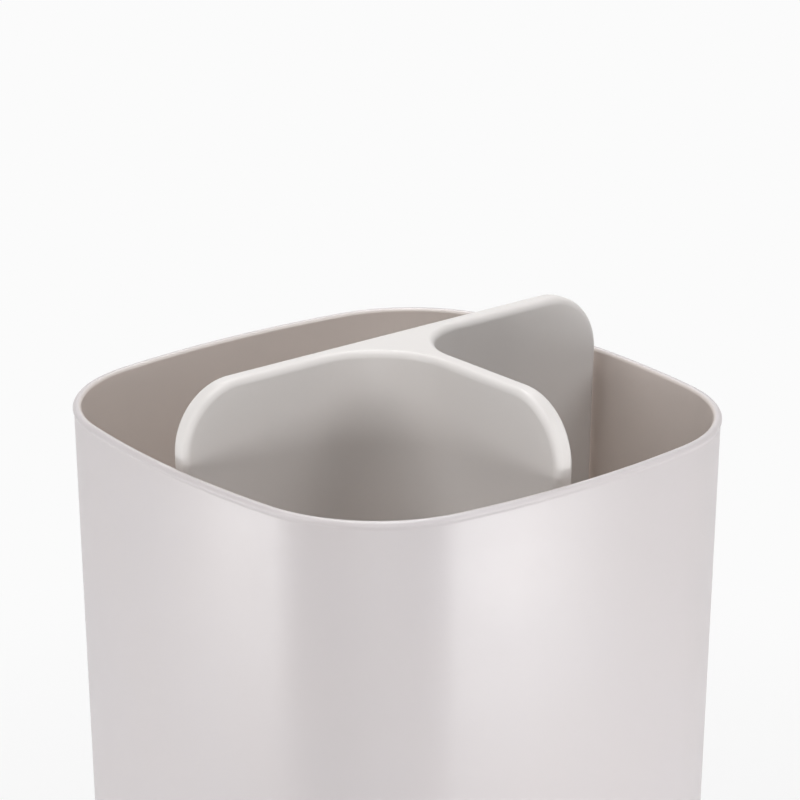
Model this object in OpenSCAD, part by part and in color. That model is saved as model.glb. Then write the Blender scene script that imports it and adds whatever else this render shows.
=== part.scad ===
// Toothbrush holder: a soft square cup with a lift-out drain plate that carries a three-winged divider.
// Sizes are in millimetres. +Z is up and -Y is the front. The origin is on the surface that the holder
// stands on, under the middle of the cup.

/* [Cup] */
// Width of the cup across its lip
cup_w = 91.4; // [87:0.2:97]
// Height of the cup from its underside to the top of its lip
cup_h = 107; // [90:1:130]
// Width of the cup at its underside, before the bottom edge is rounded
base_w = 86.8; // [84:0.2:90]
// Radius of the gentle bow of each side, seen from above
side_r = 160; // [130:1:240]
// Radius of the upright corners at the lip, seen from above
corner_r = 24; // [20:0.1:28]
// Thickness of the wall where it meets the floor
wall_t = 2; // [1.6:0.1:3]
// Thickness of the floor
floor_t = 2.4; // [2:0.1:5]
// Thickness of the lip
lip_t = 1.4; // [1.3:0.1:2.2]
// How far the lip stands out from the wall below it
lip_out = 0.2; // [0.1:0.05:0.6]
// Height of the lip's upright face, between its rounded top and the step under it
lip_h = 0.1; // [0.1:0.05:4]
// Radius along both edges of the lip
lip_r = 0.6; // [0.2:0.05:0.65]
// Radius of the bottom edge outside
base_r = 3.5; // [2:0.1:5]
// Radius between the wall and the floor inside
floor_r = 3; // [1:0.1:4]

/* [Divider] */
// Thickness of the wings
wing_t = 3.6; // [2.6:0.1:4.4]
// Height of the wings' top above the lip
wing_rise = 12; // [5:0.5:25]
// Gap between the end of the left wing and the cup's wall
wing_gap = 1.2; // [0.5:0.1:2]
// Gap between the ends of the right and the front wing and the cup's wall
short_gap = 2.2; // [0.5:0.1:3]
// Radius of each wing's upper outer corner
wing_r = 10.5; // [4:0.5:20]
// Radius along the edges of the wings
edge_r = 1.2; // [0.5:0.1:1.3]
// How far the front wing stands to the left of the middle
front_shift = 1.1; // [0:0.1:4]
// Radius of the larger web, between the front wing and the left wing
left_web_r = 13; // [5:0.5:16]
// Radius of the smaller web, between the front wing and the right wing
right_web_r = 11; // [2:0.5:13]
// Length of the tongue under each wing
tongue_w = 12; // [8:0.5:16]
// Depth of each tongue
tongue_h = 6; // [3:0.1:7]
// How far the faces of a tongue stand in from the faces of its wing
tongue_step = 0.6; // [0.3:0.1:0.8]
// Distance from the middle of the cup to the middle of each tongue
tongue_at = 26; // [20:0.5:28]

/* [Drain plate] */
// Thickness of the plate
plate_t = 2.4; // [2:0.1:3.6]
// Gap between the edge of the plate and the cup's wall
plate_gap = 0.6; // [0.3:0.1:1.5]
// Height of the space under the plate
leg_h = 5; // [4:0.5:12]
// Diameter of the legs
leg_d = 6; // [4:0.5:7]
// Distance from the legs to the edge of the plate
leg_edge = 2.4; // [1.6:0.1:3.4]
// Width of the drain slots
slot_w = 2.6; // [1.6:0.1:3.4]
// Length of the drain slots
slot_l = 17; // [10:0.5:17]
// Distance between the middles of neighbouring drain slots
slot_pitch = 8; // [6.5:0.1:8.4]
// Least distance from the middle of the outermost drain slot to the edge of the plate
slot_rim = 8; // [6:0.1:9]
// Distance from the divider's long wall to the near ends of the drain slots
slot_land = 5.4; // [4:0.1:6]
// Thickness of the walls of the sockets that take the tongues
socket_t = 1.2; // [0.8:0.1:1.6]
// Clearance round a tongue in its socket
tongue_gap = 0.2; // [0.1:0.05:0.4]

/* [Feet] */
// Diameter of the feet
foot_d = 10; // [7:0.5:13]
// Height of the feet, with the part that is sunk into the cup
foot_h = 2; // [1.6:0.1:2.4]
// How far the feet stand out of the cup's underside
foot_out = 1; // [0.8:0.1:1.2]
// Radius of the lower edge of the feet
foot_r = 0.4; // [0.2:0.1:0.6]
// Distance from the feet to the rounded bottom edge of the cup
foot_edge = 3; // [1.5:0.1:5]
// Clearance round a foot in its socket
foot_gap = 0.1; // [0.05:0.05:0.2]

/* [Hidden] */

// Overrun of every cut past the face that it opens
over = 1;
// Segments of a full turn, and of the small circles that round the edges
round_steps = 360;
edge_steps = 48;
// Straight steps along one bowed side, one upright corner and one rounded edge of the cup
side_steps = 6;
corner_steps = 10;
arc_steps = 4;
left = -1;
right = 1;
front = -1;
back = 1;
quarter = 90;

cup_colour = [0.88, 0.86, 0.84];
divider_colour = [0.94, 0.93, 0.92];
foot_colour = [0.62, 0.60, 0.58];

// Heights, from the surface that the holder stands on
cup_z = foot_out;
cup_top = cup_z + cup_h;
floor_z = cup_z + floor_t;
lip_z = cup_top - lip_r;
plate_z = floor_z + leg_h;
seat_z = plate_z + plate_t;
wing_top = cup_top + wing_rise;

// The soft square that runs along the middle of the lip: four bowed sides and four round corners.
// Every level of the cup is this outline, grown or shrunk by an offset.
lip_mid = cup_w / 2 - lip_t / 2;
side_c = side_r - lip_mid;
corner_c = (sqrt(2 * pow(side_r - corner_r, 2) - pow(side_c, 2)) - side_c) / 2;
side_half = atan2(corner_c, corner_c + side_c);

// Offsets of the wall's outer face at its foot and top, and of its inner face at the floor
foot_off = base_w / 2 - lip_mid;
rim_off = lip_t / 2 - lip_out;
function wall_out(z) = foot_off + (rim_off - foot_off) * (z - cup_z) / cup_h;
floor_off = wall_out(floor_z) - wall_t;
function wall_in(z) = floor_off + (-lip_t / 2 - floor_off) * (z - floor_z) / (lip_z - floor_z);

// Drain slots that fit on each side of the middle, in the front half and in the back half
slot_count = floor((lip_mid + wall_in(plate_z) - plate_gap - slot_rim) / slot_pitch);

// How far the wall's two faces lean out, in degrees
lean_out = atan((rim_off - foot_off) / cup_h);
lean_in = atan((-lip_t / 2 - floor_off) / (lip_z - floor_z));

// Places of the legs and the feet on the diagonals
leg_at = corner_c + (corner_r + wall_in(plate_z) - plate_gap - leg_edge - leg_d / 2) * cos(quarter / 2);
foot_at = corner_c + (corner_r + wall_out(cup_z) - base_r - foot_edge - foot_d / 2) * cos(quarter / 2);
tongue_t = wing_t - 2 * tongue_step;

// Points along a round from one angle to another
function arc(middle, radius, from, to, steps) = [
  for (i = [0 : steps])
    let (a = from + (to - from) * i / steps)
      middle + radius * [cos(a), sin(a)]
];

// A list without its last point, because the next stretch starts there
function but_last(points) = [for (i = [0 : len(points) - 2]) points[i]];
function turned(point, turns) = let (a = quarter * turns)
  [point[0] * cos(a) - point[1] * sin(a), point[0] * sin(a) + point[1] * cos(a)];

// The soft square grown by an offset, as points anticlockwise from the start of the right side
function soft_square(offset) = let (
  side = arc([-side_c, 0], side_r + offset, -side_half, side_half, side_steps),
  corner = arc([corner_c, corner_c], corner_r + offset, side_half, quarter - side_half, corner_steps)
) [for (turns = [0 : 3]) for (p = concat(but_last(side), but_last(corner))) turned(p, turns)];

// A vessel whose levels all follow the soft square. The section is a list of [offset, height] from the
// edge of its underside, over the lip, to the edge of its inner floor.
module vessel(section) {
  rings = [for (s = section) [for (p = soft_square(s[0])) [p[0], p[1], s[1]]]];
  n = len(rings[0]);
  last = len(section) - 1;
  walls = [
    for (i = [0 : last - 1], j = [0 : n - 1])
      let (a = i * n + j, b = i * n + (j + 1) % n)
        each [[a, a + n, b + n], [a, b + n, b]]
  ];
  underside = [for (j = [0 : n - 1]) j];
  inner_floor = [for (j = [0 : n - 1]) last * n + n - 1 - j];
  polyhedron([for (ring = rings) each ring], concat([underside], walls, [inner_floor]));
}

// Places something on the four diagonals at the same distance from both middle planes
module four_corners(reach) {
  for (x = [left, right], y = [front, back]) translate([x * reach, y * reach, 0]) children();
}

module outer_cup() {
  base_x = wall_out(cup_z + base_r) - base_r / cos(lean_out);
  fillet_x = wall_in(floor_z + floor_r) - floor_r / cos(lean_in);
  step_z = lip_z - lip_h - lip_out;
  section = concat(
    arc([base_x, cup_z + base_r], base_r, -quarter, -lean_out, arc_steps),
    [[wall_out(step_z), step_z], [lip_t / 2, step_z + lip_out]],
    arc([lip_t / 2 - lip_r, lip_z], lip_r, 0, quarter, arc_steps),
    arc([lip_r - lip_t / 2, lip_z], lip_r, quarter, 2 * quarter, arc_steps),
    arc([fillet_x, floor_z + floor_r], floor_r, -lean_in, -quarter, arc_steps)
  );
  color(cup_colour) difference() {
    vessel(section);
    translate([0, 0, cup_z - over]) four_corners(foot_at)
      cylinder(h = foot_h - foot_out + over, d = foot_d + 2 * foot_gap, $fn = round_steps);
  }
}

// A rectangle from x = 0 along +X, with its two far corners rounded
module round_end(length, width, radius) {
  translate([0, -width / 2]) square([length - radius, width]);
  translate([0, radius - width / 2]) square([length, width - 2 * radius]);
  for (side = [-1, 1]) translate([length - radius, side * (width / 2 - radius)])
    circle(r = radius, $fn = edge_steps);
}

// One wing along +X from the middle of the divider. Its end leans with the cup's wall.
module wing(gap) {
  corner_z = wing_top - wing_r;
  corner_x = lip_mid + wall_in(corner_z) - gap - wing_r / cos(lean_in);
  difference() {
    union() {
      translate([corner_x, 0, corner_z]) rotate([quarter, 0, 0])
        rotate_extrude($fn = round_steps) round_end(wing_r, wing_t, edge_r);
      translate([0, 0, corner_z]) rotate([quarter, 0, quarter])
        linear_extrude(corner_x) rotate(quarter) round_end(wing_r, wing_t, edge_r);
      translate([0, -wing_t / 2, seat_z]) cube([corner_x, wing_t, corner_z - seat_z]);
      translate([corner_x, 0, corner_z]) rotate([0, lean_in, 0]) mirror([0, 0, 1])
        linear_extrude(corner_z) round_end(wing_r, wing_t, edge_r);
    }
    translate([0, -wing_t, -seat_z]) cube([cup_w, 2 * wing_t, 2 * seat_z]);
  }
  translate([tongue_at - tongue_w / 2, -tongue_t / 2, seat_z - tongue_h])
    cube([tongue_w, tongue_t, tongue_h + edge_r]);
}

// The round web in the corner between the front wing and the long wall. Its upper edge is rounded too.
module web(side, radius) {
  reach = wing_t / 2 + radius;
  low = seat_z - over;
  translate([-front_shift, 0, 0]) difference() {
    translate([side < 0 ? -reach : 0, -reach, seat_z]) cube([reach, reach, wing_top - seat_z]);
    translate([side * reach, -reach, 0]) rotate_extrude($fn = round_steps) difference() {
      union() {
        translate([0, low]) square([radius, wing_top - low]);
        translate([0, wing_top - edge_r]) square([radius + edge_r, edge_r + over]);
      }
      translate([radius + edge_r, wing_top - edge_r]) circle(r = edge_r, $fn = edge_steps);
    }
  }
}

module divider() {
  color(divider_colour) {
    wing(short_gap);
    mirror([1, 0, 0]) wing(wing_gap);
    translate([-front_shift, 0, 0]) rotate(-quarter) wing(short_gap);
    web(left, left_web_r);
    web(right, right_web_r);
  }
}

// Stands something under each wing, with +X running out along the wing
module under_wings() {
  children();
  mirror([1, 0, 0]) children();
  translate([-front_shift, 0, 0]) rotate(-quarter) children();
}

// A straight block that follows a tongue, grown by a margin all round
module tongue_block(margin, low, high) {
  translate([tongue_at - tongue_w / 2 - margin, -tongue_t / 2 - margin, low])
    cube([tongue_w + 2 * margin, tongue_t + 2 * margin, high - low]);
}

// A slot with round ends, from y = 0 to its length
module drain_slot() {
  translate([-slot_w / 2, slot_w / 2]) square([slot_w, slot_l - slot_w]);
  for (y = [slot_w / 2, slot_l - slot_w / 2]) translate([0, y]) circle(d = slot_w, $fn = edge_steps);
}

module drain_plate() {
  color(divider_colour) difference() {
    union() {
      translate([0, 0, plate_z]) linear_extrude(plate_t) polygon(soft_square(wall_in(plate_z) - plate_gap));
      translate([0, 0, floor_z]) four_corners(leg_at)
        cylinder(h = leg_h + plate_t / 2, d = leg_d, $fn = round_steps);
      under_wings() tongue_block(tongue_gap + socket_t, floor_z, plate_z + plate_t / 2);
    }
    under_wings() tongue_block(tongue_gap, floor_z - over, seat_z + over);
    for (x = [left, right], y = [front, back], i = [0 : slot_count - 1])
      translate([x * slot_pitch * (i + 1), 0, plate_z - over]) mirror([0, y < 0 ? 1 : 0, 0])
        translate([0, wing_t / 2 + slot_land, 0]) linear_extrude(plate_t + 2 * over) drain_slot();
  }
}

module foot(x, y) {
  color(foot_colour) translate([x * foot_at, y * foot_at, 0]) rotate_extrude($fn = round_steps) {
    translate([foot_d / 2 - foot_r, foot_r]) circle(r = foot_r, $fn = edge_steps);
    square([foot_d / 2 - foot_r, foot_h]);
    translate([0, foot_r]) square([foot_d / 2, foot_h - foot_r]);
  }
}

outer_cup();
divider();
drain_plate();
foot(left, front);  // foot_front_left
foot(right, front);  // foot_front_right
foot(left, back);  // foot_back_left
foot(right, back);  // foot_back_right
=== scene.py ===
# %% [markdown]
# # A toothbrush holder
# The holder is a soft square cup in matte plastic. A whiter divider with three wings stands in it and
# rises above the lip, on a drain plate that lifts out with it. Four feet sit under the cup.
# This file builds what the eye sees, piece by piece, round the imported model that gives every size.

# %% [markdown]
# ## The frame
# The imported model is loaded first. Its boxes give the places and the overall sizes, so that nothing
# that follows has to be fitted afterwards. Everything is in metres, with +Z up and -Y to the front.

# %% Load the frame
import math
from contextlib import contextmanager

import bmesh
import bpy
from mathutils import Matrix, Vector


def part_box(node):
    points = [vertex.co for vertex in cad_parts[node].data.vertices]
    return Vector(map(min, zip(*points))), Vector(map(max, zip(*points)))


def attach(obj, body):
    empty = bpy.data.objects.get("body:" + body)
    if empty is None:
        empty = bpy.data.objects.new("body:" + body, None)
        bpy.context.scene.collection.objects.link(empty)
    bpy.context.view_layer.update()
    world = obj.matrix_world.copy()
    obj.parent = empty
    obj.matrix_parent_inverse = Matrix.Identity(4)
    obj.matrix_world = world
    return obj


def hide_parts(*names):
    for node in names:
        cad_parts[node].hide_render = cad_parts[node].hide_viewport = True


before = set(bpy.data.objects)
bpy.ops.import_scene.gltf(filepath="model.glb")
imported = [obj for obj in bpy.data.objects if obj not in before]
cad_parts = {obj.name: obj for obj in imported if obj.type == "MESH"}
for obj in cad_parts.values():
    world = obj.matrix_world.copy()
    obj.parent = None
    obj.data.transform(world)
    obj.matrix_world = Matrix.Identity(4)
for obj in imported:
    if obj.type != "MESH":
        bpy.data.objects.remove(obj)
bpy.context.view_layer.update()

MM = 0.001
QUARTER = math.pi / 2
scene = bpy.context.scene

cup_low, cup_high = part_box("outer_cup")
divider_low, divider_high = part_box("divider")
plate_low, plate_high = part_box("drain_plate")
print("cup", cup_low[:], cup_high[:])

# %% [markdown]
# ## The camera
# A product photograph is taken with a long lens from some distance, which keeps upright edges nearly
# parallel. The camera is placed by its direction and distance from the middle of the lip. Then it is
# aimed a little beside that point, so that the lip lands where the photograph has it. The picture is
# 800 pixels wide and high.

# %% The camera
PICTURE = 800
SENSOR = 36
CAMERA_AZIMUTH = math.radians(-39.313)
CAMERA_HEIGHT_ANGLE = math.radians(19.384)
CAMERA_DISTANCE = 0.562
FOCAL_PIXELS = 3487.2
LIP_MIDDLE_PIXEL_X = 395.92
LIP_MIDDLE_PIXEL_Y = 405.28
FAR_CLIP = 50


def place_camera(target):
    """Puts the camera on its direction from the target, which lands on the named pixel."""
    back = Vector((
        math.sin(CAMERA_AZIMUTH) * math.cos(CAMERA_HEIGHT_ANGLE),
        -math.cos(CAMERA_AZIMUTH) * math.cos(CAMERA_HEIGHT_ANGLE),
        math.sin(CAMERA_HEIGHT_ANGLE),
    ))
    across = Vector((0, 0, 1)).cross(back).normalized()
    upward = back.cross(across)
    pixel = CAMERA_DISTANCE / FOCAL_PIXELS
    aim = target - across * (LIP_MIDDLE_PIXEL_X - PICTURE / 2) * pixel
    aim += upward * (LIP_MIDDLE_PIXEL_Y - PICTURE / 2) * pixel
    data = bpy.data.cameras.new("camera")
    data.sensor_width = SENSOR
    data.lens = FOCAL_PIXELS / PICTURE * SENSOR
    data.clip_end = FAR_CLIP
    camera = bpy.data.objects.new("camera", data)
    scene.collection.objects.link(camera)
    camera.location = target + back * CAMERA_DISTANCE
    camera.rotation_euler = (camera.location - aim).to_track_quat("Z", "Y").to_euler()
    return camera


lip_middle = Vector((0, 0, cup_high.z))
scene.camera = place_camera(lip_middle)
print("lens", round(scene.camera.data.lens, 1), "mm, camera at", scene.camera.location[:])

# %% [markdown]
# ## Making pieces
# A piece is a mesh object that sits at the origin, with its place in its vertices. Modifiers round its
# edges, join other pieces to it or cut them out, and even out its normals. Each time the evaluated shape
# is kept as a plain mesh, so that the piece's own mesh holds the very faces that are rendered.

# %% Helpers for pieces
SMOOTH_ANGLE = math.radians(40)
SOFT_STEPS = 3


def new_piece(name, points, faces):
    """A mesh object from points and faces."""
    mesh = bpy.data.meshes.new(name)
    mesh.from_pydata(points, [], faces)
    mesh.validate()
    piece = bpy.data.objects.new(name, mesh)
    scene.collection.objects.link(piece)
    return piece


def keep_shape(piece):
    """Turns what the modifiers make into the piece's own mesh, and removes them."""
    evaluated = piece.evaluated_get(bpy.context.evaluated_depsgraph_get())
    shaped = bpy.data.meshes.new_from_object(evaluated)
    spare = piece.data
    piece.modifiers.clear()
    piece.data = shaped
    shaped.name = piece.name
    bpy.data.meshes.remove(spare)
    return piece


@contextmanager
def editing(piece):
    """Opens the piece's mesh for editing, and writes it back afterwards."""
    shape = bmesh.new()
    shape.from_mesh(piece.data)
    yield shape
    shape.to_mesh(piece.data)
    shape.free()


def combine(piece, other, operation):
    """Adds another piece to this one, or cuts it out, and removes the other."""
    modifier = piece.modifiers.new(operation, "BOOLEAN")
    modifier.operation = operation
    modifier.solver = "EXACT"
    modifier.object = other
    keep_shape(piece)
    bpy.data.objects.remove(other)


def soften(piece, width):
    """Rounds every edge that is sharper than the smooth angle."""
    bevel = piece.modifiers.new("soft edges", "BEVEL")
    bevel.limit_method = "ANGLE"
    bevel.angle_limit = SMOOTH_ANGLE
    bevel.width = width
    bevel.segments = SOFT_STEPS
    bevel.miter_outer = "MITER_ARC"
    return keep_shape(piece)


def dress(piece, material):
    """Gives the whole piece one material."""
    piece.data.materials.clear()
    piece.data.materials.append(material)


def finish_normals(piece):
    """Shades the piece smooth, with flat faces kept flat and sharp edges kept sharp."""
    piece.data.shade_smooth()
    with editing(piece) as shape:
        for edge in shape.edges:
            edge.smooth = edge.calc_face_angle(math.pi) < SMOOTH_ANGLE
    weighted = piece.modifiers.new("even normals", "WEIGHTED_NORMAL")
    weighted.keep_sharp = True
    keep_shape(piece)
    print(piece.name, len(piece.data.polygons), "faces")


# %% [markdown]
# ## The soft square
# Seen from above, every level of the cup is the same outline, only larger or smaller: four sides that
# bow gently, joined by four large round corners. Arcs say this exactly. The sides and the corners share
# their tangents where they meet, which fixes the middle of each corner. An offset moves all of them out
# or in alike, so that a wall made this way has the same thickness all round.

# %% The outline
LIP_THICK = 1.4 * MM
SIDE_RADIUS = 160 * MM
CORNER_RADIUS = 24 * MM
SIDE_STEPS = 32
CORNER_STEPS = 28

lip_line = cup_high.x - LIP_THICK / 2
side_middle = SIDE_RADIUS - lip_line
corner_reach = math.sqrt(2 * (SIDE_RADIUS - CORNER_RADIUS) ** 2 - side_middle ** 2)
corner_middle = (corner_reach - side_middle) / 2
side_half = math.atan2(corner_middle, corner_middle + side_middle)


def arc(middle, radius, start, end, steps):
    """Points along an arc, both ends included. Angles are in radians."""
    turns = [start + (end - start) * i / steps for i in range(steps + 1)]
    return [(middle[0] + radius * math.cos(a), middle[1] + radius * math.sin(a)) for a in turns]


def soft_square(offset):
    """The outline, grown by an offset from the line along the middle of the lip."""
    side = arc((-side_middle, 0), SIDE_RADIUS + offset, -side_half, side_half, SIDE_STEPS)
    corner = arc(
        (corner_middle, corner_middle), CORNER_RADIUS + offset,
        side_half, QUARTER - side_half, CORNER_STEPS,
    )
    points = []
    for turn in range(4):
        c, s = round(math.cos(turn * QUARTER)), round(math.sin(turn * QUARTER))
        points += [(x * c - y * s, x * s + y * c) for x, y in side[:-1] + corner[:-1]]
    return points


print("outline", len(soft_square(0)), "points, corners about", corner_middle / MM, "mm out")

# %% [markdown]
# ## The cup's section
# The cup is one moulding about 2 mm thick. Its wall leans out by a little over one degree, so that it
# comes off its core, and thins towards the lip. The lip is a small bead that stands out from the wall
# and runs back into it in a soft hollow, which is what catches the thin line of shade under it.
# The section is drawn as points of offset and height, from the underside up the outside, over the lip
# and down the inside to the floor.

# %% The section
WALL_THICK = 2.0 * MM
BASE_HALF = 43.4 * MM
BASE_RADIUS = 3.5 * MM
FLOOR_RADIUS = 3.0 * MM
LIP_OUT = 0.2 * MM
LIP_RADIUS = 0.6 * MM
LIP_HOLLOW = 0.9 * MM
WALL_RINGS = 12
ROUND_STEPS = 10

floor_z = plate_low.z
bead_z = cup_high.z - LIP_RADIUS
foot_off = BASE_HALF - lip_line
rim_off = LIP_THICK / 2 - LIP_OUT
lean_out = math.atan((rim_off - foot_off) / (cup_high.z - cup_low.z))


def wall_out(z):
    """Offset of the wall's outer face at a height."""
    return foot_off + (rim_off - foot_off) * (z - cup_low.z) / (cup_high.z - cup_low.z)


floor_off = wall_out(floor_z) - WALL_THICK
lean_in = math.atan((-LIP_THICK / 2 - floor_off) / (bead_z - floor_z))


def wall_in(z):
    """Offset of the wall's inner face at a height."""
    return floor_off + (z - floor_z) * math.tan(lean_in)


def straight(start, end, steps):
    """Points between two points, without either."""
    shares = [i / steps for i in range(1, steps)]
    return [(start[0] + (end[0] - start[0]) * s, start[1] + (end[1] - start[1]) * s) for s in shares]


def cup_section():
    """The section of the cup, as points of offset and height."""
    base = (wall_out(cup_low.z + BASE_RADIUS) - BASE_RADIUS / math.cos(lean_out), cup_low.z + BASE_RADIUS)
    fillet = (wall_in(floor_z + FLOOR_RADIUS) - FLOOR_RADIUS / math.cos(lean_in), floor_z + FLOOR_RADIUS)
    outer_bead = (LIP_THICK / 2 - LIP_RADIUS, bead_z)
    inner_bead = (LIP_RADIUS - LIP_THICK / 2, bead_z)
    hollow_x = wall_out(bead_z) + LIP_HOLLOW
    drop = math.sqrt((LIP_RADIUS + LIP_HOLLOW) ** 2 - (hollow_x - outer_bead[0]) ** 2)
    hollow = (hollow_x, bead_z - drop)
    turn = math.atan2(drop, hollow_x - outer_bead[0])
    below = arc(base, BASE_RADIUS, -QUARTER, -lean_out, ROUND_STEPS)
    under_lip = arc(hollow, LIP_HOLLOW, math.pi, math.pi - turn, ROUND_STEPS)
    over_lip = arc(outer_bead, LIP_RADIUS, -turn, QUARTER, 2 * ROUND_STEPS)
    into_cup = arc(inner_bead, LIP_RADIUS, QUARTER, math.pi - lean_in, ROUND_STEPS)
    to_floor = arc(fillet, FLOOR_RADIUS, -lean_in, -QUARTER, ROUND_STEPS)
    points = below + straight(below[-1], under_lip[0], WALL_RINGS) + under_lip + over_lip[1:]
    return points + into_cup + straight(into_cup[-1], to_floor[0], WALL_RINGS) + to_floor


section = cup_section()
print("section", len(section), "points, wall leans", round(math.degrees(lean_out), 2), "degrees")

# %% [markdown]
# ## The cup
# Lofting the outline along the section gives the whole shell in one go: a ring of points for each
# point of the section, and a face between each two neighbours. The underside and the inner floor are
# flat, so each is closed by a single face.

# %% Loft the cup


def loft(name, rings):
    """A closed shell through rings of points, anticlockwise from the first ring up and over."""
    count = len(rings[0])
    faces = [tuple(reversed(range(count)))]
    for level in range(len(rings) - 1):
        for i in range(count):
            here, after = level * count + i, level * count + (i + 1) % count
            faces.append((here, after, after + count, here + count))
    last = (len(rings) - 1) * count
    faces.append(tuple(range(last, last + count)))
    return new_piece(name, [point for ring in rings for point in ring], faces)


cup = loft("cup_shell", [[(x, y, z) for x, y in soft_square(off)] for off, z in section])
print("cup", len(cup.data.vertices), "points")

# %% [markdown]
# ## The feet and their sockets
# Each foot is a turned disc of soft rubber with rounded edges, glued into a round socket under the cup.
# One profile is turned once, and Geometry Nodes set the disc on the four diagonals. The same places cut
# the sockets. Trees for shapes and for materials are built the same way here. One small class stands
# for a tree: it adds a node, sets it up and joins its sockets. Another stands for what leaves a node,
# and does arithmetic with it.

# %% Classes for node trees


class Wire:
    """A socket that a value leaves by. Arithmetic on it adds Math nodes to its tree."""

    def __init__(self, graph, socket):
        self.graph = graph
        self.socket = socket

    def maths(self, operation, *values):
        """Adds a Math node to the wire's tree, with its values in order."""
        return self.graph.node("ShaderNodeMath", {"operation": operation}, dict(enumerate(values)))

    def __add__(self, other):
        return self.maths("ADD", self, other)

    def __sub__(self, other):
        return self.maths("SUBTRACT", self, other)

    def __rsub__(self, other):
        return self.maths("SUBTRACT", other, self)

    def __mul__(self, other):
        return self.maths("MULTIPLY", self, other)

    def __truediv__(self, other):
        return self.maths("DIVIDE", self, other)

    def __rtruediv__(self, other):
        return self.maths("DIVIDE", other, self)

    __radd__ = __add__
    __rmul__ = __mul__


def pick(sockets, name):
    """The socket of a name or a number, among those that are in use."""
    live = [socket for socket in sockets if socket.enabled]
    return live[name] if isinstance(name, int) else next(s for s in live if s.name == name)


class Graph:
    """A tree of nodes, for a shape or for a material."""

    def __init__(self, tree):
        self.tree = tree

    def feed(self, socket, value):
        """Links a wire, or several, to a socket, or sets the socket's own value."""
        if isinstance(value, list):
            for one in value:
                self.tree.links.new(one.socket, socket)
        elif isinstance(value, Wire):
            self.tree.links.new(value.socket, socket)
        else:
            socket.default_value = value

    def node(self, kind, settings=None, values=None, output=0):
        """Adds a node: its settings first, then the values of its sockets, by name or by number."""
        made = self.tree.nodes.new(kind)
        for name, value in (settings or {}).items():
            if name == "stops":
                for stop, (position, shade) in zip(made.color_ramp.elements, value):
                    stop.position = position
                    stop.color = (shade, shade, shade, 1)
            else:
                setattr(made, name, value)
        for name, value in (values or {}).items():
            self.feed(pick(made.inputs, name), value)
        return Wire(self, pick(made.outputs, output) if made.outputs else None)


# %% [markdown]
# A tree that makes a shape has named inputs for its sizes, which a modifier sets without any change to
# the nodes. The modifier keeps each input under the socket's identifier, not under its name.

# %% Helpers for shape trees


class Shaper:
    """A Geometry Nodes tree with named inputs, run on a piece and kept as its mesh."""

    def __init__(self, name, sizes):
        self.sizes = sizes
        self.tree = bpy.data.node_groups.new(name, "GeometryNodeTree")
        self.tree.interface.new_socket("Geometry", in_out="INPUT", socket_type="NodeSocketGeometry")
        self.tree.interface.new_socket("Geometry", in_out="OUTPUT", socket_type="NodeSocketGeometry")
        for size, value in sizes.items():
            kind = "NodeSocketInt" if isinstance(value, int) else "NodeSocketFloat"
            self.tree.interface.new_socket(size, in_out="INPUT", socket_type=kind)
        self.graph = Graph(self.tree)
        self.entry = self.tree.nodes.new("NodeGroupInput")

    def given(self, name):
        """The wire of a named input."""
        return Wire(self.graph, self.entry.outputs[name])

    def run(self, piece, shape, material):
        """Ends the tree with one plain mesh in its material, and keeps that as the piece's mesh."""
        plain = self.graph.node("GeometryNodeRealizeInstances", None, {"Geometry": shape})
        dressed = self.graph.node(
            "GeometryNodeSetMaterial", None, {"Geometry": plain, "Material": material})
        self.graph.node("NodeGroupOutput", None, {"Geometry": dressed})
        modifier = piece.modifiers.new(self.tree.name, "NODES")
        modifier.node_group = self.tree
        for socket in self.tree.interface.items_tree:
            if socket.in_out == "INPUT" and socket.name in self.sizes:
                modifier[socket.identifier] = self.sizes[socket.name]
        keep_shape(piece)
        print(piece.name, len(piece.data.vertices), "points from", self.tree.name)
        return piece


def upward(graph, height):
    """A vector straight up, as long as a number or a wire says."""
    return graph.node("ShaderNodeCombineXYZ", None, {"Z": height})


# %% [markdown]
# ## Materials
# All three finishes are moulded plastics or rubber. None of them is a flat colour: the mould's fine
# texture breaks up the light, and the pigment and the gloss drift a little over the surface.
# The patterns read Object coordinates, which are metres in this file, so their scales are real ones.

# %% A class for materials
PATTERN_DETAIL = 3.0
DRIFT_ENDS = (0.3, 0.7)


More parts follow.
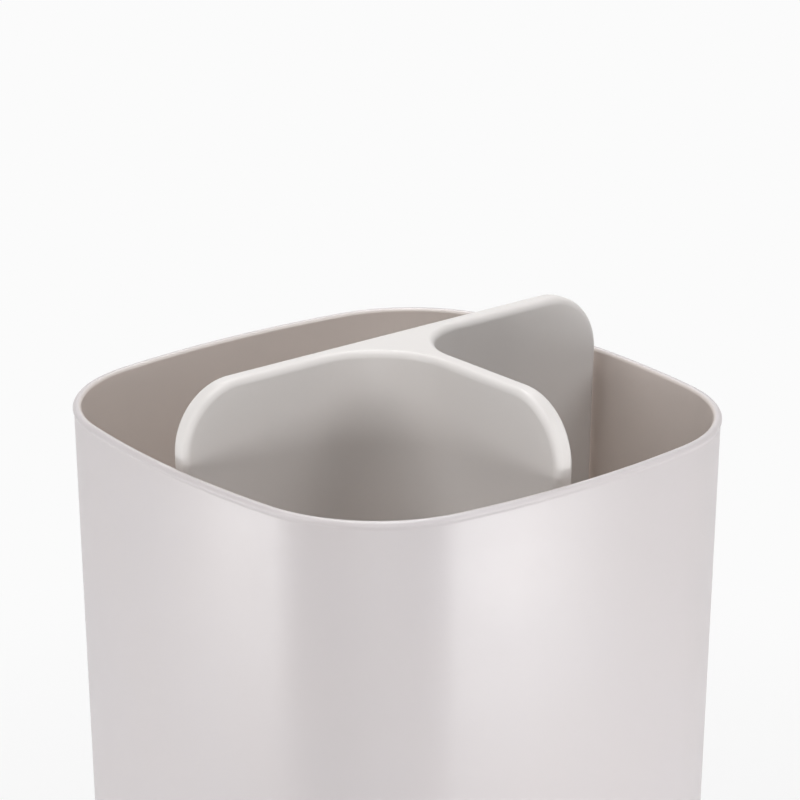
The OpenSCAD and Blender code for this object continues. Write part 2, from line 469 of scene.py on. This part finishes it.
class Finish:
    """A material with one Principled shader, whose patterns are in Object coordinates."""

    def __init__(self, name, colour, roughness, specular):
        self.material = bpy.data.materials.new(name)
        self.material.use_nodes = True
        self.graph = Graph(self.material.node_tree)
        self.shader = self.material.node_tree.nodes["Principled BSDF"]
        self.colour = (*colour, 1)
        self.shader.inputs["Base Color"].default_value = self.colour
        self.shader.inputs["Roughness"].default_value = roughness
        self.shader.inputs["Specular IOR Level"].default_value = specular
        self.material.diffuse_color = self.colour
        self.place = self.graph.node("ShaderNodeTexCoord", output="Object")

    def noise(self, size):
        """Noise from 0 to 1 whose lumps are about as large as the size."""
        values = {"Vector": self.place, "Scale": 1 / size, "Detail": PATTERN_DETAIL}
        return self.graph.node("ShaderNodeTexNoise", None, values)

    def drift(self, size, low, high):
        """A slow change between two levels."""
        stops = list(zip(DRIFT_ENDS, (low, high)))
        return self.graph.node("ShaderNodeValToRGB", {"stops": stops}, {"Fac": self.noise(size)})

    def set(self, name, wire):
        """Joins a wire to a socket of the shader."""
        self.graph.feed(self.shader.inputs[name], wire)

    def mix(self, factor, one, other):
        """A colour between two others."""
        return self.graph.node(
            "ShaderNodeMix", {"data_type": "RGBA"}, {"Factor": factor, "A": one, "B": other})

    def tint(self, factor, other):
        """The finish's colour, mixed towards another by a factor."""
        return self.mix(factor, self.colour, (*other, 1))

    def place_along(self, axis):
        """The place along X, Y or Z, by the axis's number."""
        return self.graph.node("ShaderNodeSeparateXYZ", None, {0: self.place}, output=axis)

    def bump(self, height, distance, strength):
        """A bump on the shader's normal. The height is a wire from 0 to 1, the distance its depth."""
        values = {"Strength": strength, "Distance": distance, "Height": height}
        self.set("Normal", self.graph.node("ShaderNodeBump", None, values))


# %% [markdown]
# The cup is a pale warm grey. Its spark finish is dull close up, with a soft sheen that shows broad
# lights as bands. The grains are about a third of a millimetre across and very shallow, so they soften
# the sheen rather than show as dots. A slower pattern takes the colour a shade warmer in places. Inside,
# the colour is painted lighter and more like sand. This is painted light that stands in for the warm
# light bouncing round within the cup, since inside and outside are most likely one plastic.
# Where a point lies in the wall is worked out the way the outline is drawn: by its distance from the
# middle of a bowed side's arc, or of a corner's arc.

# %% The cup's plastic
CUP_COLOUR = (0.565, 0.529, 0.537)
CUP_WARM = (0.574, 0.528, 0.524)
# Painted light: the inside's lighter, warmer colour stands in for light bouncing round within the cup.
CUP_INSIDE_PAINTED_LIGHT = (0.870, 0.768, 0.690)
INSIDE_BLEND = 1.0 * MM


def length(a, b):
    """The length of the hypotenuse, from the wires of the two shorter sides."""
    total = a * a + b * b
    return total.maths("SQRT", total)


def painted_light_inside(finish):
    """0 on the cup's outside, 1 on its inside where the painted light goes, and a blend that starts along
    the middle of its lip.
    """
    x, y, z = (finish.place_along(axis) for axis in range(3))
    x, y = x.maths("ABSOLUTE", x), y.maths("ABSOLUTE", y)
    far, near = x.maths("MAXIMUM", x, y), x.maths("MINIMUM", x, y)
    side = length(far + side_middle, near) - SIDE_RADIUS
    corner = length(far - corner_middle, near - corner_middle) - CORNER_RADIUS
    in_corner = near.maths("GREATER_THAN", near / (far + side_middle), math.tan(side_half))
    offset = side + in_corner * (corner - side)
    wall_foot, wall_head = ((wall_out(end) + wall_in(end)) / 2 for end in (floor_z, cup_high.z))
    middle = (z - floor_z) * ((wall_head - wall_foot) / (cup_high.z - floor_z)) + wall_foot
    inward = (middle - offset) / INSIDE_BLEND
    above_floor = z.maths("GREATER_THAN", z, (cup_low.z + floor_z) / 2)
    return above_floor * inward.maths("MINIMUM", inward.maths("MAXIMUM", inward, 0.0), 1.0)


def make_cup_plastic():
    """Pale warm grey plastic with a spark finish."""
    finish = Finish("cup_plastic", CUP_COLOUR, roughness=0.4, specular=1.0)
    outside = finish.tint(finish.drift(size=30 * MM, low=0.0, high=0.5), CUP_WARM)
    # The inside gets painted light: a lighter, sandier colour that stands in for light bouncing round
    # within the cup.
    finish.set("Base Color", finish.mix(painted_light_inside(finish), outside, (*CUP_INSIDE_PAINTED_LIGHT, 1)))
    finish.set("Roughness", finish.drift(size=9 * MM, low=0.38, high=0.42))
    finish.bump(finish.noise(size=0.35 * MM), distance=0.012 * MM, strength=0.35)
    return finish.material


# %% [markdown]
# The divider and the plate are moulded in a whiter plastic. Its satin finish has a weaker sheen than
# the cup's, and a coarser and shallower grain.

# %% The insert's plastic
INSERT_COLOUR = (0.750, 0.724, 0.708)
INSERT_WARM = (0.757, 0.721, 0.697)


def make_insert_plastic():
    """Satin, off-white plastic."""
    finish = Finish("insert_plastic", INSERT_COLOUR, roughness=0.4, specular=0.4)
    warmth = finish.drift(size=24 * MM, low=0.0, high=0.5)
    finish.set("Base Color", finish.tint(warmth, INSERT_WARM))
    finish.set("Roughness", finish.drift(size=7 * MM, low=0.36, high=0.44))
    finish.bump(finish.noise(size=0.6 * MM), distance=0.008 * MM, strength=0.25)
    return finish.material


# %% [markdown]
# The feet are silicone, grey and dull, with a rougher skin that keeps them from sticking in the mould.

# %% The feet's rubber
RUBBER_COLOUR = (0.27, 0.255, 0.24)
RUBBER_DUST = (0.36, 0.345, 0.33)


def make_foot_rubber():
    """Dull grey silicone."""
    finish = Finish("foot_rubber", RUBBER_COLOUR, roughness=0.7, specular=0.3)
    dust = finish.drift(size=3 * MM, low=0.0, high=0.6)
    finish.set("Base Color", finish.tint(dust, RUBBER_DUST))
    finish.set("Roughness", finish.drift(size=2 * MM, low=0.66, high=0.78))
    finish.bump(finish.noise(size=0.25 * MM), distance=0.02 * MM, strength=0.5)
    return finish.material


cup_plastic = make_cup_plastic()
insert_plastic = make_insert_plastic()
foot_rubber = make_foot_rubber()
print("materials", [m.name for m in (cup_plastic, insert_plastic, foot_rubber)])

# %% [markdown]
# Now the feet. The places come from the frame: the four feet stand on the diagonals, as far from both
# middle planes. A grid of two by two points carries one instance on each point.

# %% The feet
FOOT_NODES = ("foot_front_left", "foot_front_right", "foot_back_left", "foot_back_right")
FOOT_EDGE = 0.4 * MM
FOOT_EDGE_STEPS = 8
FOOT_TOP_EDGE = 0.15 * MM
FOOT_TOP_STEPS = 4
TURN_STEPS = 64

foot_low, foot_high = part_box("foot_back_right")
foot_radius = (foot_high.x - foot_low.x) / 2
foot_reach = (foot_high.x + foot_low.x) / 2


def turned(name, profile):
    """A disc round the Z axis, from points of radius and height, low to high."""
    turns = [2 * math.pi * i / TURN_STEPS for i in range(TURN_STEPS)]
    return loft(name, [[(r * math.cos(a), r * math.sin(a), z) for a in turns] for r, z in profile])


def on_diagonals(graph, spread, height, instance):
    """An instance on each of four points, so far apart and so high."""
    grid = graph.node("GeometryNodeMeshGrid", None, {
        "Size X": spread, "Size Y": spread, "Vertices X": 2, "Vertices Y": 2})
    points = graph.node("GeometryNodeSetPosition", None, {
        "Geometry": grid, "Offset": upward(graph, height)})
    return graph.node("GeometryNodeInstanceOnPoints", None, {"Points": points, "Instance": instance})


def at_the_feet(name, piece, material):
    """Sets the piece on the places of the four feet."""
    shaper = Shaper(name, {"Spread": 2 * foot_reach})
    placed = on_diagonals(shaper.graph, shaper.given("Spread"), 0.0, shaper.given("Geometry"))
    return shaper.run(piece, placed, material)


def foot_profile():
    """The profile of a foot, from its underside to its top."""
    low_middle = (foot_radius - FOOT_EDGE, foot_low.z + FOOT_EDGE)
    high_middle = (foot_radius - FOOT_TOP_EDGE, foot_high.z - FOOT_TOP_EDGE)
    lower = arc(low_middle, FOOT_EDGE, -QUARTER, 0, FOOT_EDGE_STEPS)
    return lower + arc(high_middle, FOOT_TOP_EDGE, 0, QUARTER, FOOT_TOP_STEPS)


feet = at_the_feet("four feet", turned("feet", foot_profile()), foot_rubber)
finish_normals(feet)

# %% [markdown]
# The sockets leave a tenth of a millimetre round each foot, which shows as a hairline of shade. A
# Boolean modifier cuts them out of the cup's underside.

# %% Cut the sockets
FOOT_GAP = 0.1 * MM

socket_radius = foot_radius + FOOT_GAP
cutter = turned("socket_cutter", [(socket_radius, cup_low.z - MM), (socket_radius, foot_high.z)])
combine(cup, at_the_feet("four sockets", cutter, cup_plastic), "DIFFERENCE")
dress(cup, cup_plastic)
finish_normals(cup)

# %% [markdown]
# ## The divider
# The divider is one moulding with three wings: a long wall from left to right, and a front wing that
# stands a little left of the middle. The upper outer corner of each wing is round, and its end leans
# with the cup's wall. The left wing comes closest to the wall. A round web joins the front wing to the
# left wing, and a slightly smaller one joins it to the right wing.
# Each compartment sees one surface that runs from wing end to wing end, through the web if it has one.
# So the mesh is made of three such surfaces, a strip as wide as the wings are thick up each wing's end
# and round its corner, and a flat top and foot. A Bevel modifier then rounds only the edges where the
# strips and the top meet the surfaces, which have a bevel weight.

# %% The wings' ends
WING_CORNER = 10.5 * MM
FRONT_SHIFT = 1.1 * MM
LEFT_WEB = 13 * MM
RIGHT_WEB = 11 * MM
WEB_STEPS = 22
EDGE_RADIUS = 1.2 * MM
EDGE_STEPS = 6
CORNER_ARC_STEPS = 20

wing_reach = {"left": -divider_low.x, "right": divider_high.x, "front": -divider_low.y}
wing_half = divider_high.y
wing_top = divider_high.z
seat_z = plate_high.z


def on_wing(wing, reach, side, z):
    """A place on a wing: so far out, on one of its two sides (-1 or 1), and so high."""
    if wing == "front":
        return (side * wing_half - FRONT_SHIFT, -reach, z)
    return (reach if wing == "right" else -reach, side * wing_half, z)


def wing_end(wing):
    """The end of a wing as points of distance and height, from the seat up to the flat top."""
    middle = (wing_reach[wing] - WING_CORNER, wing_top - WING_CORNER)
    corner = arc(middle, WING_CORNER, -lean_in, QUARTER, CORNER_ARC_STEPS)
    reach, height = corner[0]
    foot = (reach - (height - seat_z) * math.tan(lean_in), seat_z)
    return [foot] + corner


print("wings reach", {wing: round(reach / MM, 2) for wing, reach in wing_reach.items()}, "mm")

# %% [markdown]
# The points are kept in a list, and a dictionary remembers the number of each point by its rounded
# place. Faces that share a point then share its number, which joins them without a later merge.

# %% Build the divider


class Sheets:
    """Collects faces by the places of their corners, with one number for each place."""

    def __init__(self):
        self.points = []
        self.number = {}
        self.faces = []
        self.kinds = []

    def add(self, kind, corners):
        face = []
        for corner in corners:
            key = tuple(round(value / MM, 4) for value in corner)
            if key not in self.number:
                self.number[key] = len(self.points)
                self.points.append(corner)
            face.append(self.number[key])
        self.faces.append(tuple(face))
        self.kinds.append(kind)


def web_path(side, radius):
    """The plan of a web, from the long wall's front face to the front wing's side face."""
    middle_x = side * (wing_half + radius) - FRONT_SHIFT
    middle_y = -wing_half - radius
    facing = 0 if side < 0 else math.pi
    return arc((middle_x, middle_y), radius, QUARTER, facing, WEB_STEPS)


def add_pocket(sheets, wing, front_side, web):
    """The face of one front compartment: a wing's front face, the web and the front wing's face."""
    wing_face = [on_wing(wing, r, -1, z) for r, z in wing_end(wing)]
    front_face = [on_wing("front", r, front_side, z) for r, z in wing_end("front")]
    low = [(x, y, seat_z) for x, y in web]
    high = [(x, y, wing_top) for x, y in web]
    sheets.add("face", wing_face + [high[0], low[0]])
    for i in range(len(web) - 1):
        sheets.add("face", [low[i], high[i], high[i + 1], low[i + 1]])
    sheets.add("face", front_face + [high[-1], low[-1]])


def add_level(sheets, kind, step, z, left_web, right_web):
    """A flat face over all three wings: their top, or their foot."""
    reach = {wing: wing_end(wing)[step][0] for wing in wing_reach}
    outline = [on_wing("right", reach["right"], side, z) for side in (1, -1)]
    outline += [(x, y, z) for x, y in right_web]
    outline += [on_wing("front", reach["front"], side, z) for side in (1, -1)]
    outline += [(x, y, z) for x, y in reversed(left_web)]
    outline += [on_wing("left", reach["left"], side, z) for side in (-1, 1)]
    sheets.add(kind, outline)


def make_divider():
    """The three wings and the two webs, with soft edges."""
    sheets = Sheets()
    left_web = web_path(-1, LEFT_WEB)
    right_web = web_path(1, RIGHT_WEB)
    add_pocket(sheets, "left", -1, left_web)
    add_pocket(sheets, "right", 1, right_web)
    back = [on_wing("right", r, 1, z) for r, z in wing_end("right")]
    sheets.add("face", back + [on_wing("left", r, 1, z) for r, z in reversed(wing_end("left"))])
    for wing in wing_reach:
        end = wing_end(wing)
        for (r0, z0), (r1, z1) in zip(end, end[1:]):
            sheets.add("rim", [on_wing(wing, r0, -1, z0), on_wing(wing, r0, 1, z0),
                               on_wing(wing, r1, 1, z1), on_wing(wing, r1, -1, z1)])
    add_level(sheets, "rim", -1, wing_top, left_web, right_web)
    add_level(sheets, "foot", 0, seat_z, left_web, right_web)
    piece = new_piece("divider_body", sheets.points, sheets.faces)
    with editing(piece) as shape:
        shape.faces.ensure_lookup_table()
        weight = shape.edges.layers.float.new("bevel_weight_edge")
        for edge in shape.edges:
            kinds = {sheets.kinds[face.index] for face in edge.link_faces}
            edge[weight] = 1.0 if kinds == {"face", "rim"} else 0.0
        bmesh.ops.recalc_face_normals(shape, faces=shape.faces)
    bevel = piece.modifiers.new("soft edges", "BEVEL")
    bevel.limit_method = "WEIGHT"
    bevel.width = EDGE_RADIUS
    bevel.segments = EDGE_STEPS
    bevel.use_clamp_overlap = False
    return keep_shape(piece)


divider = make_divider()
print("divider", len(divider.data.polygons), "faces")

# %% [markdown]
# Three tongues under the wings plug into sockets in the drain plate. Each is a small block, a little
# thinner than its wing. They are made apart, softened, and joined on with a Boolean modifier, so that
# the divider stays one closed body.

# %% The tongues
TONGUE_LONG = 12 * MM
TONGUE_STEP = 0.6 * MM
TONGUE_OUT = 26 * MM
TONGUE_EDGE = 0.4 * MM
TONGUE_ROOT = 1.2 * MM

BLOCK_FACES = ((3, 2, 1, 0), (4, 5, 6, 7), (0, 1, 5, 4), (1, 2, 6, 5), (2, 3, 7, 6), (3, 0, 4, 7))

tongue_half = wing_half - TONGUE_STEP


def block(name, margin, low, high):
    """A straight block under each wing, as long and thick as a tongue with a margin all round."""
    inner = TONGUE_OUT - TONGUE_LONG / 2 - margin
    outer = TONGUE_OUT + TONGUE_LONG / 2 + margin
    share = (tongue_half + margin) / wing_half
    plan = ((inner, -share), (outer, -share), (outer, share), (inner, share))
    points, faces = [], []
    for wing in wing_reach:
        first = len(points)
        points += [on_wing(wing, reach, side, z) for z in (low, high) for reach, side in plan]
        faces += [tuple(first + i for i in face) for face in BLOCK_FACES]
    piece = new_piece(name, points, faces)
    with editing(piece) as shape:
        bmesh.ops.recalc_face_normals(shape, faces=shape.faces)
    return piece


tongues = soften(block("tongues", 0, divider_low.z, seat_z + TONGUE_ROOT), TONGUE_EDGE)
combine(divider, tongues, "UNION")
dress(divider, insert_plastic)
finish_normals(divider)

# %% [markdown]
# ## The drain plate
# The plate lets water run off and keeps the ends of brushes above it. It follows the cup's outline with
# a small gap, stands on four legs, and has three sockets for the tongues and two rows of slots.
# Rows of slots and legs are what Geometry Nodes do well: grids of points carry the slots and the legs,
# the filled outline leaves the slots open, and each size is a named input.

# %% The plate's sizes
PLATE_THICK = 2.4 * MM
PLATE_GAP = 0.6 * MM
PLATE_EDGE = 0.4 * MM
LEG_WIDE = 6 * MM
LEG_EDGE = 2.4 * MM
SLOT_WIDE = 2.6 * MM
SLOT_LONG = 17 * MM
SLOT_PITCH = 8 * MM
SLOT_LAND = 5.4 * MM
SLOT_RIM = 8 * MM
SLOT_END_SHARE = 0.499
SLOT_END_STEPS = 9
LEG_STEPS = 48
WELD = 0.001 * MM
SOCKET_WALL = 1.2 * MM
TONGUE_GAP = 0.2 * MM

plate_z = seat_z - PLATE_THICK
plate_off = wall_in(plate_z) - PLATE_GAP
slots_per_side = math.floor((lip_line + plate_off - SLOT_RIM) / SLOT_PITCH)
slot_middle = wing_half + SLOT_LAND + SLOT_LONG / 2
leg_corner = CORNER_RADIUS + plate_off - LEG_EDGE - LEG_WIDE / 2
leg_reach = corner_middle + leg_corner * math.cos(math.pi / 4)
plate_sizes = {
    "Thickness": PLATE_THICK, "Slot width": SLOT_WIDE, "Slot length": SLOT_LONG,
    "Slot pitch": SLOT_PITCH, "Slots a side": slots_per_side, "Slot middle": slot_middle,
    "Leg width": LEG_WIDE, "Leg reach": leg_reach, "Plate height": plate_z, "Floor height": floor_z,
}
print("plate", slots_per_side, "slots a side, legs at", round(leg_reach / MM, 2), "mm")

# %% [markdown]
# A slot is a rectangle whose corners are rounded by almost half its width. The slots stand on a grid of
# two rows. The points in the middle of each row are taken away, which leaves room for the socket of the
# front wing's tongue and keeps the rows alike.

# %% The slots


def slot_curves(shaper):
    """The outlines of the slots, in two rows with a space in the middle."""
    graph, given = shaper.graph, shaper.given
    slot = graph.node("GeometryNodeCurvePrimitiveQuadrilateral", {"mode": "RECTANGLE"},
                      {"Width": given("Slot width"), "Height": given("Slot length")})
    slot = graph.node("GeometryNodeFilletCurve", {"mode": "POLY"}, {
        "Curve": slot, "Count": SLOT_END_STEPS, "Radius": given("Slot width") * SLOT_END_SHARE})
    across = given("Slots a side") * 2
    grid = graph.node("GeometryNodeMeshGrid", None, {
        "Size X": across * given("Slot pitch"), "Size Y": given("Slot middle") * 2,
        "Vertices X": across + 1, "Vertices Y": 2})
    place = graph.node("ShaderNodeSeparateXYZ", None, {0: graph.node("GeometryNodeInputPosition")})
    middle = graph.node("FunctionNodeCompare", {"data_type": "FLOAT", "operation": "LESS_THAN"},
                        {"A": place.maths("ABSOLUTE", place), "B": given("Slot pitch") / 2})
    points = graph.node("GeometryNodeDeleteGeometry", {"domain": "POINT"},
                        {"Geometry": grid, "Selection": middle})
    slots = graph.node("GeometryNodeInstanceOnPoints", None, {"Points": points, "Instance": slot})
    return graph.node("GeometryNodeRealizeInstances", None, {"Geometry": slots})


# %% [markdown]
# The plate's outline comes into the tree as a flat mesh, and the slots join it as curves. Filling them
# together leaves the slots open. An extruded copy gives the top and the edges, and the filled face
# itself, turned over, closes the underside.

# %% The slab and the legs


def plate_slab(shaper):
    """The outline, filled round its slots and given its thickness."""
    graph, given = shaper.graph, shaper.given
    outline = graph.node("GeometryNodeMeshToCurve", None, {"Mesh": given("Geometry")})
    curves = graph.node("GeometryNodeJoinGeometry", None, {"Geometry": [outline, slot_curves(shaper)]})
    filled = graph.node("GeometryNodeFillCurve", None, {"Curve": curves})
    filled = graph.node("GeometryNodeSetPosition", None,
                        {"Geometry": filled, "Offset": upward(graph, given("Plate height"))})
    raised = graph.node("GeometryNodeExtrudeMesh", {"mode": "FACES"}, {
        "Mesh": filled, "Offset": upward(graph, 1.0), "Offset Scale": given("Thickness"),
        "Individual": False})
    under = graph.node("GeometryNodeFlipFaces", None, {"Mesh": filled})
    slab = graph.node("GeometryNodeJoinGeometry", None, {"Geometry": [raised, under]})
    return graph.node("GeometryNodeMergeByDistance", None, {"Geometry": slab, "Distance": WELD})


def plate_legs(shaper):
    """Four round legs, from the cup's floor to halfway through the plate."""
    graph, given = shaper.graph, shaper.given
    tall = given("Plate height") - given("Floor height") + given("Thickness") / 2
    leg = graph.node("GeometryNodeMeshCylinder", None,
                     {"Vertices": LEG_STEPS, "Radius": given("Leg width") / 2, "Depth": tall})
    legs = on_diagonals(graph, given("Leg reach") * 2, given("Floor height") + tall / 2, leg)
    return graph.node("GeometryNodeRealizeInstances", None, {"Geometry": legs})


# %% [markdown]
# The sockets are made like the tongues, only larger: blocks that stand out under the plate are joined
# on, and smaller ones are cut through them and the plate, which leaves a gap round each tongue.

# %% Build the plate


def make_plate():
    """The drain plate, with its sockets joined on and opened."""
    outline = soft_square(plate_off)
    plate = new_piece("plate_body", [(x, y, 0) for x, y in outline], [tuple(range(len(outline)))])
    shaper = Shaper("drain plate", plate_sizes)
    whole = shaper.graph.node("GeometryNodeMeshBoolean", {"operation": "UNION", "solver": "EXACT"},
                              {"Mesh": [plate_slab(shaper), plate_legs(shaper)]})
    shaper.run(plate, whole, insert_plastic)
    socket_top = plate_z + PLATE_THICK / 2
    combine(plate, block("sockets", TONGUE_GAP + SOCKET_WALL, floor_z, socket_top), "UNION")
    combine(plate, block("holes", TONGUE_GAP, floor_z - MM, seat_z + MM), "DIFFERENCE")
    return plate


plate = soften(make_plate(), PLATE_EDGE)
dress(plate, insert_plastic)
finish_normals(plate)

# %% [markdown]
# ## Who rides on what
# Every piece says which body of the frame it moves with, which part of the frame it stands for, and
# which finish it takes.

# %% Tie the pieces to the frame
for piece, body, slot, nodes in (
    (cup, "cup", "cup_plastic", ("outer_cup",)),
    (feet, "cup", "foot_rubber", FOOT_NODES),
    (plate, "plate", "insert_plastic", ("drain_plate",)),
    (divider, "divider", "insert_plastic", ("divider",)),
):
    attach(piece, body)
    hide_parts(*nodes)
    print(piece.name, "rides on", body, "and stands for", nodes)

# %% [markdown]
# ## The stage
# The holder stands on a wide pale floor. To the camera, and in reflections, the floor is almost white
# by itself, so that no extra light has to fall on the holder to get a white background. Near the
# holder, a share of its look is that of a plain matte surface, which keeps the holder's shadow.
# Further off, the glow takes over, so that the floor is as white as the world behind it.

# %% The floor and the world
FLOOR_HALF = 6.0
BACKGROUND = 0.965
GLOW_SHARE_NEAR = 0.8
GLOW_SHARE_FAR = 1.0
GLOW_NEAR_END = 0.1
GLOW_FAR_START = 0.2
WORLD_STRENGTH = 0.04
FLOOR_COLOUR = (0.9, 0.9, 0.9, 1)
WHITE = (1, 1, 1, 1)


def seen_directly(graph):
    """1 where the camera looks, or a reflection or a clear material does, and 0 for other light."""
    camera, glossy, clear = (
        graph.node("ShaderNodeLightPath", output=name)
        for name in ("Is Camera Ray", "Is Glossy Ray", "Is Transmission Ray"))
    total = camera + glossy + clear
    return total.maths("MINIMUM", total, 1.0)


def make_floor():
    """A wide flat floor that looks white to the camera and still takes a shadow near the holder."""
    reach = FLOOR_HALF
    corners = [(-reach, -reach, 0), (reach, -reach, 0), (reach, reach, 0), (-reach, reach, 0)]
    floor = new_piece("floor", corners, [(0, 1, 2, 3)])
    material = bpy.data.materials.new("pale_floor")
    material.use_nodes = True
    tree = material.node_tree
    tree.nodes.clear()
    graph = Graph(tree)
    matte = graph.node("ShaderNodeBsdfDiffuse", None, {"Color": FLOOR_COLOUR})
    glow = graph.node("ShaderNodeEmission", None, {"Color": WHITE, "Strength": BACKGROUND})
    place = graph.node("ShaderNodeTexCoord", output="Object")
    far = graph.node("ShaderNodeVectorMath", {"operation": "LENGTH"}, {0: place})
    blend = graph.node("ShaderNodeMapRange", {"interpolation_type": "SMOOTHSTEP"}, {
        "Value": far, "From Min": GLOW_NEAR_END, "From Max": GLOW_FAR_START,
        "To Min": GLOW_SHARE_NEAR, "To Max": GLOW_SHARE_FAR})
    mixed = graph.node("ShaderNodeMixShader", None, {0: seen_directly(graph) * blend, 1: matte, 2: glow})
    graph.node("ShaderNodeOutputMaterial", None, {"Surface": mixed})
    dress(floor, material)


def make_world():
    """White to the camera and in reflections, and a faint even light from all round for the rest."""
    world = bpy.data.worlds.new("studio")
    world.use_nodes = True
    tree = world.node_tree
    tree.nodes.clear()
    graph = Graph(tree)
    seen = seen_directly(graph)
    strength = seen * BACKGROUND + (1.0 - seen) * WORLD_STRENGTH
    light = graph.node("ShaderNodeBackground", None, {"Color": WHITE, "Strength": strength})
    graph.node("ShaderNodeOutputWorld", None, {"Surface": light})
    scene.world = world


make_floor()
make_world()
print("floor", 2 * FLOOR_HALF, "m wide, world", scene.world.name)

# %% [markdown]
# ## The lamps
# The satin wall shows what stands low beside it: seen from above, an upright wall mirrors the table.
# So a short strip lamp lies low on either side, well round from the camera. Each draws a soft bright
# band down one bowed side and leaves the corner between them in half shade. A low strip in front gives
# the wall the light that a white table would throw back at it. Soft boxes on both sides, behind and
# above reach into the cup over its lip, so that the compartments darken with their depth.

# %% Soft boxes
LAMPS = {
    "left_strip": dict(azimuth=-75, distance=0.25, height=0.02, wide=0.1, tall=0.036, power=0.1),
    "right_strip": dict(azimuth=59, distance=0.25, height=0.02, wide=0.1, tall=0.036, power=0.15),
    "front_strip": dict(azimuth=0, distance=0.7, height=0.09, wide=0.3, tall=0.14, power=1.1),
    "left_box": dict(azimuth=-60, distance=0.7, height=0.5, wide=0.4, tall=0.4, power=1.9),
    "right_box": dict(azimuth=72, distance=0.7, height=0.5, wide=0.4, tall=0.4, power=1.6),
    "back_box": dict(azimuth=180, distance=0.45, height=0.8, wide=0.4, tall=0.4, power=2.8),
    "top_box": dict(azimuth=0, distance=0.2, height=1.0, wide=0.5, tall=0.5, power=3.8),
}
LAMP_AIM = 0.08


def add_lamp(name, azimuth, distance, height, wide, tall, power):
    """An area lamp, aimed at the holder. The azimuth is measured from the camera's side, to the right."""
    turn = CAMERA_AZIMUTH + math.radians(azimuth)
    data = bpy.data.lights.new(name, "AREA")
    data.shape = "RECTANGLE"
    data.size = wide
    data.size_y = tall
    data.energy = power
    lamp = bpy.data.objects.new(name, data)
    scene.collection.objects.link(lamp)
    lamp.visible_camera = False
    lamp.location = Vector((math.sin(turn) * distance, -math.cos(turn) * distance, height))
    away = lamp.location - Vector((0, 0, LAMP_AIM))
    lamp.rotation_euler = away.to_track_quat("Z", "Y").to_euler()
    return lamp


lamps = [add_lamp(name, **facts) for name, facts in LAMPS.items()]
scene.view_settings.view_transform = "Standard"
print("lamps", [(lamp.name, lamp.data.energy) for lamp in lamps])
